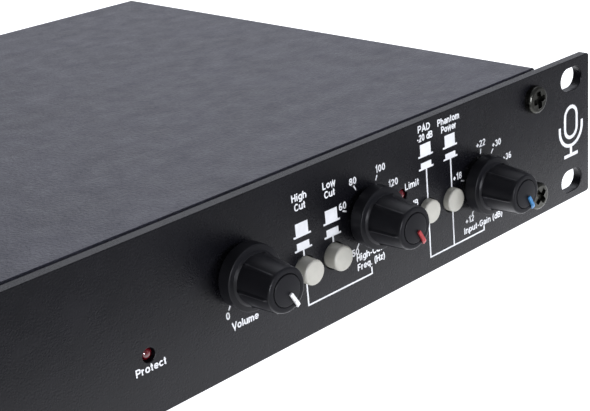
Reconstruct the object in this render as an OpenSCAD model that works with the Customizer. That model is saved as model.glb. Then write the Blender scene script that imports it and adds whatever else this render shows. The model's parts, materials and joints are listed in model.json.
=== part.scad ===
// One-unit rack microphone preamp with an output stage.
// Frame: the origin is the centre of the front panel's front face.
// +X runs right as seen from the front, +Y runs back into the case, +Z is up.

/* [Rack panel] */
// Width of the front panel, over both rack ears
panel_w = 482.6; // [482:0.1:483]
// Height of the front panel
panel_h = 43.6; // [43.4:0.1:44]
// Thickness of the front panel
panel_t = 3; // [2.8:0.1:3.1]
// Distance across between the rack slots' centres
rack_pitch_x = 465.1; // [464.8:0.1:465.4]
// Distance up between the rack slots' centres
rack_pitch_z = 31.75; // [31.65:0.05:31.85]
// Length of a rack slot
slot_l = 10; // [9.6:0.1:10.4]
// Height of a rack slot
slot_w = 6.9; // [6.7:0.1:7.1]

/* [Case] */
// Width of the case over the cover's sides
case_w = 446.4; // [445:0.2:448]
// Height of the case
case_h = 42; // [41.8:0.1:42.2]
// Distance from the panel's front face to the back of the case
case_d = 204.7; // [204:0.1:206]
// Thickness of the steel sheet
sheet = 1; // [0.9:0.1:1.1]
// Distance from the panel's front face to the cover's front edge
cover_front = 6.1; // [5.9:0.1:6.4]

/* [Knobs] */
// Places of the three knobs: volume, high-cut frequency, input gain
volume_at = [102.7, 3.15];
high_cut_at = [145.4, 3.15];
gain_at = [189.2, -2.4];
// Radius of a knob's skirt
skirt_r = 8.1; // [7.8:0.1:8.3]
// Radius of a knob's body at the skirt
knob_root_r = 6.35; // [6.2:0.05:6.4]
// Radius of a knob's body at its front
knob_front_r = 5.5; // [5.4:0.05:5.8]
// Distance from the panel to a knob's front rim
knob_reach = 16; // [15.8:0.1:17]
// Angle that the pointers show, clockwise from straight up
pointer_deg = 150; // [145:1:150]

/* [Push buttons] */
// Places across of the four buttons
button_x = [122.65, 132.65, 167.95, 177.7];
// Height of the row of buttons
button_z = -3.7; // [-4:0.1:-3.4]
// Radius of a button
button_r = 3.25; // [3:0.05:3.25]
// How far a released button stands out
button_out = 3.5; // [3.2:0.1:3.8]
// How far a latched button stands out
button_in = 1.7; // [1.6:0.1:2]

/* [Rear connectors] */
// Places across of the rear connectors
mic_input_x = 180; // [178:1:182]
line_output_x = 142; // [140:1:144]
jack_x = 112; // [110:1:114]
speaker_x = 76; // [74:1:78]
inlet_x = -186; // [-188:1:-184]
// Radius of the plug hole in the jack
jack_bore_r = 3.2; // [3.2:0.02:3.26]

/* [Hidden] */
$fn = 48;
eps = 0.01;

case_top = case_h / 2;
case_bot = -case_h / 2;
floor_top = case_bot + sheet;
cover_in = case_top - sheet;
side_in = case_w / 2 - sheet;
flange_back = panel_t + 0.9;
rear_t = 1.5;
rear_in = case_d - rear_t;

// Front openings
bushing_hole_r = 3.6;
button_hole_r = button_r + 0.3;
led_hole_r = 1.75;
protect_at = [74.65, -6.27];
limit_at = [158.4, 3.85];
power_led_at = [-172, 0];
led_places = [protect_at, limit_at, power_led_at];
knob_places = [volume_at, high_cut_at, gain_at];
panel_screw_hole_r = 2.2;

// Power switch
rocker_x = -200;
rocker_cut = [6.6, 9.8];
rocker_pivot_y = 3.5;
rocker_tilt = 9;

// Screws that hold the front panel
panel_screw_x = 214.3;
panel_screw_z = 14.7;
panel_screw_places = [for (i = [-1, 1], k = [-1, 1]) [i * panel_screw_x, k * panel_screw_z]];

// Screws at the cover's sides
cover_screw_y = [30, 104, 178];
cover_screw_z = -14;

// Small screws: radius and height of the head, and radius of the shank
small_screw = [2.8, 1.8, 1.4];
small_screw_hole_r = 1.7;

// Boards
board_t = 1.6;
control_front = 22;
control_board_x = [64, 211];
control_board_z = [-18, 15];
front_post_places = [[69, 10], [69, -15], [205, 10], [205, -15]];
main_board_x = [-60, 212];
main_board_y = [30, 168];
main_board_bot = floor_top + 6;
main_board_top = main_board_bot + board_t;
board_post_places = [for (x = [-54, 78, 206], y = [36, 162]) [x, y]];

// Transformer
trafo_at = [-130, 112];
trafo_r = 39;
trafo_hole_r = 15;
trafo_h = 29;
pad_t = 1;
trafo_bot = floor_top + pad_t;

// Rear connectors
dsize_w = 26;
dsize_h = 31;
dsize_t = 2;
dsize_depth = 20;
dsize_face = case_d + dsize_t;
dsize_hole_r = 12;
dsize_screw_at = [9.5, 12];
socket_r = 9.6;
mic_socket_d = 13;
line_socket_d = 15;
pin_ring_r = 4;
dsize_places = [mic_input_x, line_output_x, speaker_x];
rear_screw_x = [-212, -120, 10, 212];
rear_screw_z = -16.5;
inlet_half_w = 13.5;
inlet_half_h = 16;
drawer_z = [3.4, 14.4];
drawer_mid_z = (drawer_z[0] + drawer_z[1]) / 2;
drawer_half_w = 11.5;
fuse_y = case_d - 14;

// ---- building blocks -------------------------------------------------------

// A box between two corners
module block(x, y, z) {
    translate([x[0], y[0], z[0]]) cube([x[1] - x[0], y[1] - y[0], z[1] - z[0]]);
}

// A round bar along Y between two depths, at a place across and up
module rod_y(at, y, r) {
    translate([at[0], y[0], at[1]]) rotate([-90, 0, 0]) cylinder(h = y[1] - y[0], r = r);
}

// A round bar along Z
module rod_z(at, z, r) {
    translate([at[0], at[1], z[0]]) cylinder(h = z[1] - z[0], r = r);
}

// A plate across Y with rounded corners
module round_plate(w, h, y, r) {
    block([-w / 2 + r, w / 2 - r], y, [-h / 2, h / 2]);
    block([-w / 2, w / 2], y, [-h / 2 + r, h / 2 - r]);
    for (i = [-1, 1], k = [-1, 1]) rod_y([i * (w / 2 - r), k * (h / 2 - r)], y, r);
}

// The cut for one rack slot
module rack_slot(at) {
    straight = (slot_l - slot_w) / 2;
    y = [-1, panel_t + 1];
    for (i = [-1, 1]) rod_y([at[0] + i * straight, at[1]], y, slot_w / 2);
    block([at[0] - straight, at[0] + straight], y, [at[1] - slot_w / 2, at[1] + slot_w / 2]);
}

// A pan-head screw: its head stands on z = 0 and its shank goes down
module pan_screw(head_r, head_h, shank_r, shank_l) {
    wing = head_r * 0.5;
    slit = head_r * 0.22;
    bevel = head_r * 0.1;
    translate([0, 0, -shank_l]) cylinder(h = shank_l, r = shank_r);
    difference() {
        rotate_extrude() polygon([[0, 0], [head_r, 0], [head_r, head_h - bevel],
            [head_r - bevel, head_h], [0, head_h]]);
        for (turn = [0, 90]) rotate([0, 0, turn])
            translate([-wing, -slit / 2, head_h * 0.35]) cube([2 * wing, slit, head_h]);
    }
}

module small_pan_screw(shank_l) {
    pan_screw(small_screw[0], small_screw[1], small_screw[2], shank_l);
}

// ---- case ------------------------------------------------------------------

module front_panel() {
    cut = [-1, panel_t + 1];
    color("#1d1d20") difference() {
        round_plate(panel_w, panel_h, [0, panel_t], 1);
        for (i = [-1, 1], k = [-1, 1]) rack_slot([i * rack_pitch_x / 2, k * rack_pitch_z / 2]);
        for (p = panel_screw_places) rod_y(p, cut, panel_screw_hole_r);
        for (p = knob_places) rod_y(p, cut, bushing_hole_r);
        for (x = button_x) rod_y([x, button_z], cut, button_hole_r);
        for (p = led_places) rod_y(p, cut, led_hole_r);
        block([rocker_x - rocker_cut[0], rocker_x + rocker_cut[0]], cut, [-rocker_cut[1], rocker_cut[1]]);
    }
}

// Tray with a full-height front wall, low side walls and a low rear lip
module chassis_base() {
    cut = [panel_t - 1, flange_back + 1];
    lip_d = 12;
    color("#3a3a3e") difference() {
        union() {
            block([-side_in, side_in], [panel_t, rear_in], [case_bot, floor_top]);
            block([-side_in, side_in], [panel_t, flange_back], [case_bot, case_top]);
            block([-side_in, side_in], [panel_t, flange_back + lip_d], [cover_in - sheet, cover_in]);
            for (i = [0, 1]) mirror([i, 0, 0])
                block([side_in - sheet, side_in], [panel_t, rear_in], [case_bot, -8]);
            block([-side_in, side_in], [rear_in - sheet, rear_in], [case_bot, -14]);
        }
        block([inlet_x - inlet_half_w, inlet_x + inlet_half_w], [rear_in - 2 * sheet, rear_in + 1],
            [-inlet_half_h, 0]);
        for (p = panel_screw_places) rod_y(p, cut, panel_screw_hole_r);
        for (p = knob_places) rod_y(p, cut, bushing_hole_r);
        for (x = button_x) rod_y([x, button_z], cut, button_hole_r + 0.3);
        for (p = led_places) rod_y(p, cut, 1.55);
        block([rocker_x - rocker_cut[0], rocker_x + rocker_cut[0]], cut, [-rocker_cut[1], rocker_cut[1]]);
        for (i = [-1, 1], y = cover_screw_y) translate([i * (side_in - sheet / 2), y, cover_screw_z])
            rotate([0, 90, 0]) cylinder(h = 3 * sheet, r = 1.5, center = true);
        for (x = rear_screw_x) rod_y([x, rear_screw_z], [rear_in - 2 * sheet, rear_in + 1], 1.5);
    }
}

module rear_panel() {
    cut = [rear_in - 1, case_d + 1];
    color("#1f1f22") difference() {
        block([-side_in, side_in], [rear_in, case_d], [case_bot, cover_in]);
        for (x = rear_screw_x) rod_y([x, rear_screw_z], cut, small_screw_hole_r);
        for (x = dsize_places) rod_y([x, 0], cut, dsize_hole_r);
        for (x = dsize_places, i = [-1, 1])
            rod_y([x + i * dsize_screw_at[0], i * dsize_screw_at[1]], cut, 1.5);
        rod_y([jack_x, 0], cut, 4.8);
        block([inlet_x - inlet_half_w, inlet_x + inlet_half_w], cut, [-inlet_half_h, inlet_half_h]);
    }
}

// Cover bent down at both sides
module top_cover() {
    color("#4b4b50") difference() {
        block([-case_w / 2, case_w / 2], [cover_front, case_d], [case_bot, case_top]);
        block([-side_in, side_in], [cover_front - 1, case_d + 1], [case_bot - 1, cover_in]);
        for (i = [-1, 1], y = cover_screw_y) translate([i * case_w / 2, y, cover_screw_z])
            rotate([0, 90, 0]) cylinder(h = 4 * sheet, r = 1.6, center = true);
    }
}

module panel_screws() {
    color("#141416") for (p = panel_screw_places)
        translate([p[0], 0, p[1]]) rotate([90, 0, 0]) pan_screw(4, 2.2, 1.95, 8);
}

module clinch_nuts() {
    color("silver") for (p = panel_screw_places) difference() {
        rod_y(p, [flange_back, flange_back + 3.2], 3.6);
        rod_y(p, [flange_back - 1, flange_back + 5], 2);
    }
}

module cover_screws() {
    color("#141416") for (i = [-1, 1], y = cover_screw_y)
        translate([i * case_w / 2, y, cover_screw_z]) rotate([0, i * 90, 0]) small_pan_screw(4);
}

// Screws for the rear panel and for the flanged connectors
module rear_screws() {
    color("#1a1a1c") {
        for (x = rear_screw_x) translate([x, case_d, rear_screw_z])
            rotate([-90, 0, 0]) small_pan_screw(5);
        for (x = dsize_places, i = [-1, 1])
            translate([x + i * dsize_screw_at[0], dsize_face, i * dsize_screw_at[1]])
                rotate([-90, 0, 0]) small_pan_screw(7);
    }
}

// ---- boards and what stands on them ----------------------------------------

module main_board() {
    color("#1d4a2c") difference() {
        block(main_board_x, main_board_y, [main_board_bot, main_board_top]);
        for (p = board_post_places) rod_z(p, [main_board_bot - 1, main_board_top + 1], small_screw_hole_r);
    }
}

module control_board() {
    back = control_front + board_t;
    color("#1d4a2c") difference() {
        block(control_board_x, [control_front, back], control_board_z);
        for (p = front_post_places) rod_y(p, [control_front - 1, back + 1], small_screw_hole_r);
    }
}

module board_standoffs() {
    color("silver") {
        for (p = board_post_places) difference() {
            rod_z(p, [floor_top, main_board_bot], 3);
            rod_z(p, [floor_top + 1, main_board_bot + 1], 1.5);
        }
        for (p = front_post_places) difference() {
            rod_y(p, [flange_back, control_front], 3);
            rod_y(p, [control_front - 8, control_front + 1], 1.5);
        }
    }
}

module board_screws() {
    color("silver") {
        for (p = board_post_places) translate([p[0], p[1], main_board_top]) small_pan_screw(5);
        for (p = front_post_places) translate([p[0], control_front + board_t, p[1]])
            rotate([-90, 0, 0]) small_pan_screw(5);
    }
}

module mains_transformer() {
    round_r = 6;
    color("#b5651d") translate([trafo_at[0], trafo_at[1], trafo_bot]) rotate_extrude() {
        translate([trafo_hole_r + round_r, 0]) square([trafo_r - trafo_hole_r - 2 * round_r, trafo_h]);
        translate([trafo_hole_r, round_r]) square([trafo_r - trafo_hole_r, trafo_h - 2 * round_r]);
        for (x = [trafo_hole_r + round_r, trafo_r - round_r], z = [round_r, trafo_h - round_r])
            translate([x, z]) circle(r = round_r);
    }
}

module transformer_pads() {
    color("#222222") for (z = [floor_top, trafo_bot + trafo_h]) difference() {
        rod_z(trafo_at, [z, z + pad_t], 33);
        rod_z(trafo_at, [z - 1, z + pad_t + 1], 5);
    }
}

// Plate over the transformer, with the nut and the stud that draw it down
module transformer_clamp() {
    plate_bot = trafo_bot + trafo_h + pad_t;
    plate_top = plate_bot + 1.2;
    color("silver") {
        rod_z(trafo_at, [plate_bot, plate_top], 29);
        rod_z(trafo_at, [floor_top, plate_top + 5.2], 2.9);
        translate([trafo_at[0], trafo_at[1], plate_top]) cylinder(h = 4, r = 5.5, $fn = 6);
    }
}

module filter_capacitors() {
    color("#20242c") for (x = [-8, 18], y = [56, 84])
        rod_z([x, y], [main_board_top, main_board_top + 28], 11);
}

module heat_sink() {
    foot = main_board_top;
    color("#2a2a2d") {
        block([-38, -34], [52, 148], [foot, foot + 29]);
        for (y = [54:8:146]) block([-56, -37], [y - 0.8, y + 0.8], [foot + 1, foot + 29]);
    }
}

module output_transistors() {
    foot = main_board_top;
    color("#18181a") for (y = [72, 96, 120]) {
        block([-34, -29.5], [y - 8, y + 8], [foot + 7, foot + 27]);
        for (k = [-5, 0, 5]) block([-32.2, -31.4], [y + k - 0.6, y + k + 0.6], [foot, foot + 8]);
    }
}

module bridge_rectifier() {
    color("#18181a") block([-14, 14], [106, 112], [main_board_top, main_board_top + 18]);
}

module protect_relay() {
    color("#2e5e9a") block([44, 73], [128, 141], [main_board_top, main_board_top + 16]);
}

module audio_chips() {
    color("#161616") for (x = [100:22:188], y = [60, 96])
        block([x - 4.9, x + 4.9], [y - 3.2, y + 3.2], [main_board_top, main_board_top + 3.6]);
}

module ribbon_cable() {
    back = control_front + board_t;
    color("lightgrey") {
        block([88, 120], [back, 40], [-9.2, -8]);
        block([88, 120], [38.8, 40], [main_board_top, -8]);
    }
}

// ---- rotary controls -------------------------------------------------------

// Sealed potentiometer with a threaded bushing, and its hole for the shaft
module pot(at) {
    color("#7d7f83") difference() {
        union() {
            block([at[0] - 8, at[0] + 8], [flange_back, 10], [at[1] - 8, at[1] + 8]);
            rod_y(at, [10, control_front], 6);
            rod_y(at, [-3.6, flange_back], 3.5);
        }
        rod_y(at, [-5, 9.5], 3.05);
    }
}

module pot_volume() { pot(volume_at); }
module pot_high_cut() { pot(high_cut_at); }
module pot_gain() { pot(gain_at); }

module pot_nuts() {
    color("silver") for (p = knob_places) difference() {
        translate([p[0], 0, p[1]]) rotate([90, 0, 0]) cylinder(h = 2, r = 5.7, $fn = 6);
        rod_y(p, [-3, 1], 3.5);
    }
}

module shaft(at) {
    color("#c9c9cc") rod_y(at, [-14.4, 9], 3);
}

module shaft_volume() { shaft(volume_at); }
module shaft_high_cut() { shaft(high_cut_at); }
module shaft_gain() { shaft(gain_at); }

// Knob: a skirt, a tapered ribbed body and a recess in front for the pointer cap
module knob(at) {
    rib_turns = [0:60:300];
    color("#17171a") translate([at[0], 0, at[1]]) rotate([90, 0, 0]) {
        rotate_extrude() polygon([
            [6.6, 1.7], [skirt_r - 0.2, 1.7], [skirt_r, 1.9], [skirt_r, 4.8], [skirt_r - 0.5, 5.3],
            [knob_root_r + 0.15, 5.5], [knob_root_r, 5.7], [knob_front_r, knob_reach - 0.4],
            [knob_front_r - 0.4, knob_reach], [4.5, knob_reach], [4.4, knob_reach - 0.5],
            [0, knob_reach - 0.5], [0, 14.6], [3, 14.6], [3, 4.4], [6.6, 4.4]]);
        for (turn = rib_turns) rotate([0, 0, turn - pointer_deg]) difference() {
            translate([-0.35, knob_root_r - 1.6, 5.4]) cube([0.7, 1.9, 9]);
            translate([-1, knob_root_r + 0.3, 5.4]) rotate([4.8, 0, 0])
                translate([0, 0, -1]) cube([2, 3, 12]);
        }
    }
}

module knob_volume() { knob(volume_at); }
module knob_high_cut() { knob(high_cut_at); }
module knob_gain() { knob(gain_at); }

// Cap in the knob's front, with the pointer bar that runs over the rim
module pointer_cap(at, tint) {
    color(tint) translate([at[0], 0, at[1]]) rotate([90, 0, 0]) rotate([0, 0, -pointer_deg]) {
        rotate_extrude() polygon([[0, knob_reach - 0.5], [4.1, knob_reach - 0.5],
            [4, knob_reach + 0.2], [3.6, knob_reach + 0.6], [0, knob_reach + 0.8]]);
        translate([-0.55, 0.9, knob_reach + 0.02]) cube([1.1, 4.7, 0.95]);
    }
}

module pointer_volume() { pointer_cap(volume_at, "white"); }
module pointer_high_cut() { pointer_cap(high_cut_at, "red"); }
module pointer_gain() { pointer_cap(gain_at, "steelblue"); }

// ---- push buttons ----------------------------------------------------------

switch_front = 10.5;

module switch_bodies() {
    half = 4.1;
    color("#3b3b3b") for (x = button_x) difference() {
        block([x - half, x + half], [switch_front, control_front], [button_z - half, button_z + half]);
        block([x - 1.9, x + 1.9], [switch_front - 1, control_front - 1], [button_z - 1.9, button_z + 1.9]);
    }
}

// Square plunger that carries a button whose front stands at a given reach
module plunger(x, reach) {
    color("ivory") block([x - 1.5, x + 1.5], [3 - reach, 21.5 - reach], [button_z - 1.5, button_z + 1.5]);
}

// Round button with a rounded front edge and a square socket behind
module button(x, reach) {
    edge = 0.5;
    color("#b4b3aa") translate([x, -reach, button_z]) rotate([-90, 0, 0]) difference() {
        rotate_extrude() polygon(concat([[0, 0]],
            [for (a = [0:15:90]) [button_r - edge + edge * sin(a), edge - edge * cos(a)]],
            [[button_r, 9.5], [0, 9.5]]));
        translate([-1.5, -1.5, 3]) cube([3, 3, 10]);
    }
}

module plunger_high_cut() { plunger(button_x[0], button_out); }
module plunger_low_cut() { plunger(button_x[1], button_out); }
module plunger_pad() { plunger(button_x[2], button_in); }
module plunger_phantom() { plunger(button_x[3], button_in); }
module button_high_cut() { button(button_x[0], button_out); }
module button_low_cut() { button(button_x[1], button_out); }
module button_pad() { button(button_x[2], button_in); }
module button_phantom() { button(button_x[3], button_in); }

// ---- lamps and power switch ------------------------------------------------

// Lamp with a domed lens, a rim behind the sheet and two leads
module led(at, tint) {
    lens_r = 1.5;
    color(tint) {
        rod_y(at, [0.4 + lens_r, flange_back], lens_r);
        translate([at[0], 0.4 + lens_r, at[1]]) sphere(r = lens_r);
        rod_y(at, [flange_back, flange_back + 1], 2.1);
        for (i = [-1, 1]) block([at[0] + i * 0.9 - 0.25, at[0] + i * 0.9 + 0.25],
            [flange_back + 0.9, control_front], [at[1] - 0.25, at[1] + 0.25]);
    }
}

module protect_led() { led(protect_at, "#7a1010"); }
module limit_led() { led(limit_at, "#7a1010"); }
module power_led() { led(power_led_at, "#2f6f35"); }

module rocker_housing() {
    color("#141416") difference() {
        union() {
            block([rocker_x - 7.5, rocker_x + 7.5], [-1.5, 0], [-10.8, 10.8]);
            block([rocker_x - 6.4, rocker_x + 6.4], [-eps, 17], [-9.6, 9.6]);
        }
        block([rocker_x - 5.2, rocker_x + 5.2], [-2, 10], [-8.7, 8.7]);
        translate([rocker_x, rocker_pivot_y, 0]) rotate([0, 90, 0])
            cylinder(h = 11.8, r = 1.06, center = true);
    }
}

// Rocker with its pivot pins, tilted as it rests when switched on
module power_rocker() {
    color("#202022") translate([rocker_x, rocker_pivot_y, 0]) rotate([rocker_tilt, 0, 0]) {
        rotate([90, 0, 90]) translate([0, 0, -4.9]) linear_extrude(height = 9.8)
            polygon([[-6.7, 7.2], [-5.4, 0], [-6.7, -7.2], [-1, -7.9], [1.5, -3], [1.5, 3], [-1, 7.9]]);
        rotate([0, 90, 0]) cylinder(h = 11.6, r = 1, center = true);
    }
}

// ---- rear connectors -------------------------------------------------------

// Flange and barrel of a round flanged connector, as a solid to be cut
module dsize_body(x, depth) {
    translate([x, 0, 0]) difference() {
        union() {
            round_plate(dsize_w, dsize_h, [case_d, dsize_face], 3);
            rod_y([0, 0], [case_d - depth, dsize_face], dsize_hole_r - 0.15);
        }
        for (i = [-1, 1]) rod_y([i * dsize_screw_at[0], i * dsize_screw_at[1]],
            [case_d - 5, case_d + 5], 1.6);
    }
}

// Round shell with a slot at its top for the latch
module mic_input_shell() {
    x = mic_input_x;
    color("#2a2a2d") difference() {
        dsize_body(x, dsize_depth);
        rod_y([x, 0], [dsize_face - mic_socket_d, dsize_face + 1], socket_r);
        block([x - 3.8, x + 3.8], [dsize_face - 5, dsize_face + 1], [8.8, 13.9]);
    }
}

// Insert that stands in the shell and takes the plug's three pins
module mic_input_core() {
    color("#1c1c1e") difference() {
        rod_y([mic_input_x, 0], [dsize_face - mic_socket_d, dsize_face - 0.6], 6.8);
        for (turn = [0, 120, 240])
            rod_y([mic_input_x + pin_ring_r * sin(turn), -pin_ring_r * cos(turn)],
                [dsize_face - 11, dsize_face + 1], 1.3);
    }
}

// Release tab in the shell's slot, with the hook that holds the plug behind it
module mic_input_latch() {
    x = [mic_input_x - 3.4, mic_input_x + 3.4];
    color("#8f9196") {
        block(x, [case_d + 0.2, dsize_face + 1.4], [10.3, 13.6]);
        block(x, [dsize_face - 4.6, case_d + 0.3], [10.3, 11.4]);
    }
}

module line_output_shell() {
    color("#2a2a2d") difference() {
        dsize_body(line_output_x, dsize_depth);
        rod_y([line_output_x, 0], [dsize_face - line_socket_d, dsize_face + 1], socket_r);
    }
}

module line_output_pins() {
    color("#d0c08a") for (turn = [0, 120, 240])
        rod_y([line_output_x + pin_ring_r * sin(turn), pin_ring_r * cos(turn)],
            [dsize_face - line_socket_d, dsize_face - 4.6], 1.2);
}

module jack_output() {
    at = [jack_x, 0];
    color("#b9bbbf") difference() {
        union() {
            block([jack_x - 8, jack_x + 8], [rear_in - 26, rear_in], [-8, 8]);
            rod_y(at, [rear_in - eps, case_d + 5.5], 4.7);
            translate([jack_x, case_d, 0]) rotate([-90, 0, 0]) cylinder(h = 2.2, r = 7.2, $fn = 6);
        }
        rod_y(at, [rear_in - 22, case_d + 7], jack_bore_r);
    }
}

// Round outlet with a core inside and two locking slots at its sides
module speaker_outlet() {
    x = speaker_x;
    slot_half = [1.4, 1.6];
    color("#1d2a4a") difference() {
        dsize_body(x, dsize_depth);
        difference() {
            rod_y([x, 0], [dsize_face - 16, dsize_face + 1], socket_r);
            rod_y([x, 0], [dsize_face - 17, dsize_face - 1], 6);
        }
        for (i = [-1, 1]) block([x + i * 10 - slot_half[0], x + i * 10 + slot_half[0]],
            [dsize_face - 12, dsize_face + 1], [-slot_half[1], slot_half[1]]);
    }
}

module mains_inlet() {
    flange_h = 36;
    face = case_d + 2.5;
    body_front = case_d - 27;
    color("#161618") difference() {
        union() {
            translate([inlet_x, 0, 0]) round_plate(31, flange_h, [case_d, face], 2);
            block([inlet_x - inlet_half_w + 0.2, inlet_x + inlet_half_w - 0.2], [body_front, case_d + eps],
                [-inlet_half_h + 0.2, inlet_half_h - 0.2]);
        }
        block([inlet_x - 12.1, inlet_x + 12.1], [case_d - 15, face + 1], [-14.6, 1.4]);
        block([inlet_x - drawer_half_w - 0.3, inlet_x + drawer_half_w + 0.3], [case_d - 22, face + 1],
            [drawer_z[0] - 0.3, drawer_z[1] + 0.3]);
    }
}

module inlet_blades() {
    y = [case_d - 15, case_d - 2.5];
    mid_z = -6.6;
    color("#c9c9cc") {
        for (i = [-1, 1]) block([inlet_x + i * 7 - 1, inlet_x + i * 7 + 1], y, [mid_z - 4, mid_z]);
        block([inlet_x - 1, inlet_x + 1], y, [mid_z, mid_z + 4]);
    }
}

// Drawer that pulls straight out of the inlet, with a finger lip and a fuse well
module fuse_drawer() {
    well_r = 2.9;
    color("#1c1c1f") difference() {
        union() {
            block([inlet_x - drawer_half_w, inlet_x + drawer_half_w],
                [case_d - 21, case_d + 3.6], drawer_z);
            block([inlet_x - 3.5, inlet_x + 3.5],
                [case_d + 3.5, case_d + 5.2], [drawer_z[1] - 2.6, drawer_z[1]]);
        }
        translate([inlet_x, fuse_y, drawer_mid_z]) rotate([0, 90, 0])
            cylinder(h = 20.6, r = well_r, center = true);
        block([inlet_x - 10.3, inlet_x + 10.3], [fuse_y - well_r, fuse_y + well_r], [drawer_mid_z, 30]);
    }
}

module mains_fuse() {
    color("#d8dce0") translate([inlet_x, fuse_y, drawer_mid_z - 0.3]) rotate([0, 90, 0]) {
        cylinder(h = 10.2, r = 2.3, center = true);
        for (k = [-10, 5]) translate([0, 0, k]) cylinder(h = 5, r = 2.6);
    }
}

front_panel();
chassis_base();
rear_panel();
top_cover();
panel_screws();
clinch_nuts();
cover_screws();
rear_screws();
main_board();
control_board();
board_standoffs();
board_screws();
mains_transformer();
transformer_pads();
transformer_clamp();
filter_capacitors();
heat_sink();
output_transistors();
bridge_rectifier();
protect_relay();
audio_chips();
ribbon_cable();
pot_volume();
pot_high_cut();
pot_gain();
pot_nuts();
knob_volume();
knob_high_cut();
knob_gain();
pointer_volume();
pointer_high_cut();
pointer_gain();
shaft_volume();
shaft_high_cut();
shaft_gain();
switch_bodies();
plunger_high_cut();
plunger_low_cut();
plunger_pad();
plunger_phantom();
button_high_cut();
button_low_cut();
button_pad();
button_phantom();
protect_led();
limit_led();
power_led();
rocker_housing();
power_rocker();
mic_input_shell();
mic_input_core();
mic_input_latch();
line_output_shell();
line_output_pins();
jack_output();
speaker_outlet();
mains_inlet();
inlet_blades();
fuse_drawer();
mains_fuse();
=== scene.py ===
"""Microphone preamp in a one-unit rack case: the looks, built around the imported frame.

Lengths in this file are millimetres; meshes are scaled to metres when they are made.
+X runs right as seen from the front, +Y runs back into the case, +Z is up, and the
front panel's front face lies at y = 0.
"""

import json
import math

import bmesh
import bpy
from mathutils import Matrix, Vector
from mathutils.geometry import delaunay_2d_cdt


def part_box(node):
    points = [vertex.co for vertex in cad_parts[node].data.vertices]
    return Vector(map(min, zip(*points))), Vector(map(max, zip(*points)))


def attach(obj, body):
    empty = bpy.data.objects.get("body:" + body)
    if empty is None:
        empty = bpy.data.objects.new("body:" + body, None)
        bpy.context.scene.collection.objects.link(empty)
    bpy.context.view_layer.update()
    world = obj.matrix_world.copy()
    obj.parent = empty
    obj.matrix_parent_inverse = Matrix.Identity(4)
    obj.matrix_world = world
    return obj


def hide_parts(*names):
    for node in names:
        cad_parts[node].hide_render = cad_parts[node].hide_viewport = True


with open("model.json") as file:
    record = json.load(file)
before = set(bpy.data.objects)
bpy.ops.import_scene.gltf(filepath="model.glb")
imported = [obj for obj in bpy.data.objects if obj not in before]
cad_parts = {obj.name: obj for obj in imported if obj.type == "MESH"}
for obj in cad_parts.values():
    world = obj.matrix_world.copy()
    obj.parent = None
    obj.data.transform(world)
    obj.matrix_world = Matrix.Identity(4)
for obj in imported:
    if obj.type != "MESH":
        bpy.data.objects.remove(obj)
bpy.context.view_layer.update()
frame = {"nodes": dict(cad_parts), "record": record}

MM = 0.001
CASE = "case"
NODES = frame["nodes"]


# ---- measures taken from the frame -------------------------------------------


def low(node):
    """A node's lowest corner at rest."""
    return [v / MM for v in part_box(node)[0]]


def high(node):
    """A node's highest corner at rest."""
    return [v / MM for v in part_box(node)[1]]


def middle(node):
    """A node's centre, across and up."""
    a, b = low(node), high(node)
    return (a[0] + b[0]) / 2, (a[2] + b[2]) / 2


PANEL_W = high("front_panel")[0] * 2
PANEL_H = high("front_panel")[2] * 2
PANEL_T = high("front_panel")[1]
CASE_W = high("top_cover")[0] * 2
CASE_TOP = high("top_cover")[2]
CASE_BOT = low("top_cover")[2]
COVER_FRONT = low("top_cover")[1]
CASE_BACK = high("top_cover")[1]
SHEET = 1.0

RACK = next(mount["dims"] for mount in frame["record"]["mounts"] if mount["name"] == "rack_slots")
RACK_PITCH = (RACK["spacing_x_mm"], RACK["spacing_y_mm"])
SLOT = (RACK["slot_length_mm"], 2 * RACK["hole_r_mm"])

# Screws: where they stand, and a pan head's radius, height and recess
PANEL_SCREW = (214.3, 14.7)
PANEL_HEAD = (4.0, 2.2, 4.4)
SMALL_HEAD = (2.8, 1.8, 3.2)
REAR_SCREW_X = (-212, -120, 10, 212)
REAR_SCREW_Z = -16.5

# Connectors with a screwed flange, and how far from its middle the two screws lie
FLANGED = ("mic_input_shell", "line_output_shell", "speaker_outlet")
FLANGE_SCREW = (9.5, 12)

KNOBS = ("volume", "high_cut", "gain")
BUTTONS = ("high_cut", "low_cut", "pad", "phantom")
LAMPS = ("protect", "limit", "power")


# ---- mesh tools ----------------------------------------------------------------


def make_object(name, bm, material, smooth_deg=35.0, recalc=True):
    """An object from a bmesh drawn in millimetres, with large faces kept flat in shading."""
    if recalc:
        bmesh.ops.recalc_face_normals(bm, faces=bm.faces)
    bmesh.ops.scale(bm, vec=(MM, MM, MM), verts=bm.verts)
    mesh = bpy.data.meshes.new(name)
    bm.to_mesh(mesh)
    bm.free()
    for face in mesh.polygons:
        face.use_smooth = True
    mesh.set_sharp_from_angle(angle=math.radians(smooth_deg))
    mesh.materials.append(material)
    obj = bpy.data.objects.new(name, mesh)
    bpy.context.collection.objects.link(obj)
    weighted = obj.modifiers.new("weighted_normals", "WEIGHTED_NORMAL")
    weighted.keep_sharp = True
    return obj


def piece(obj, body, slot, *replaced):
    """Hangs a piece on the body it rides on and hides the CAD nodes that it stands for; the finish slot is
    not used.
    """
    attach(obj, body)
    if replaced:
        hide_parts(*replaced)


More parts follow.
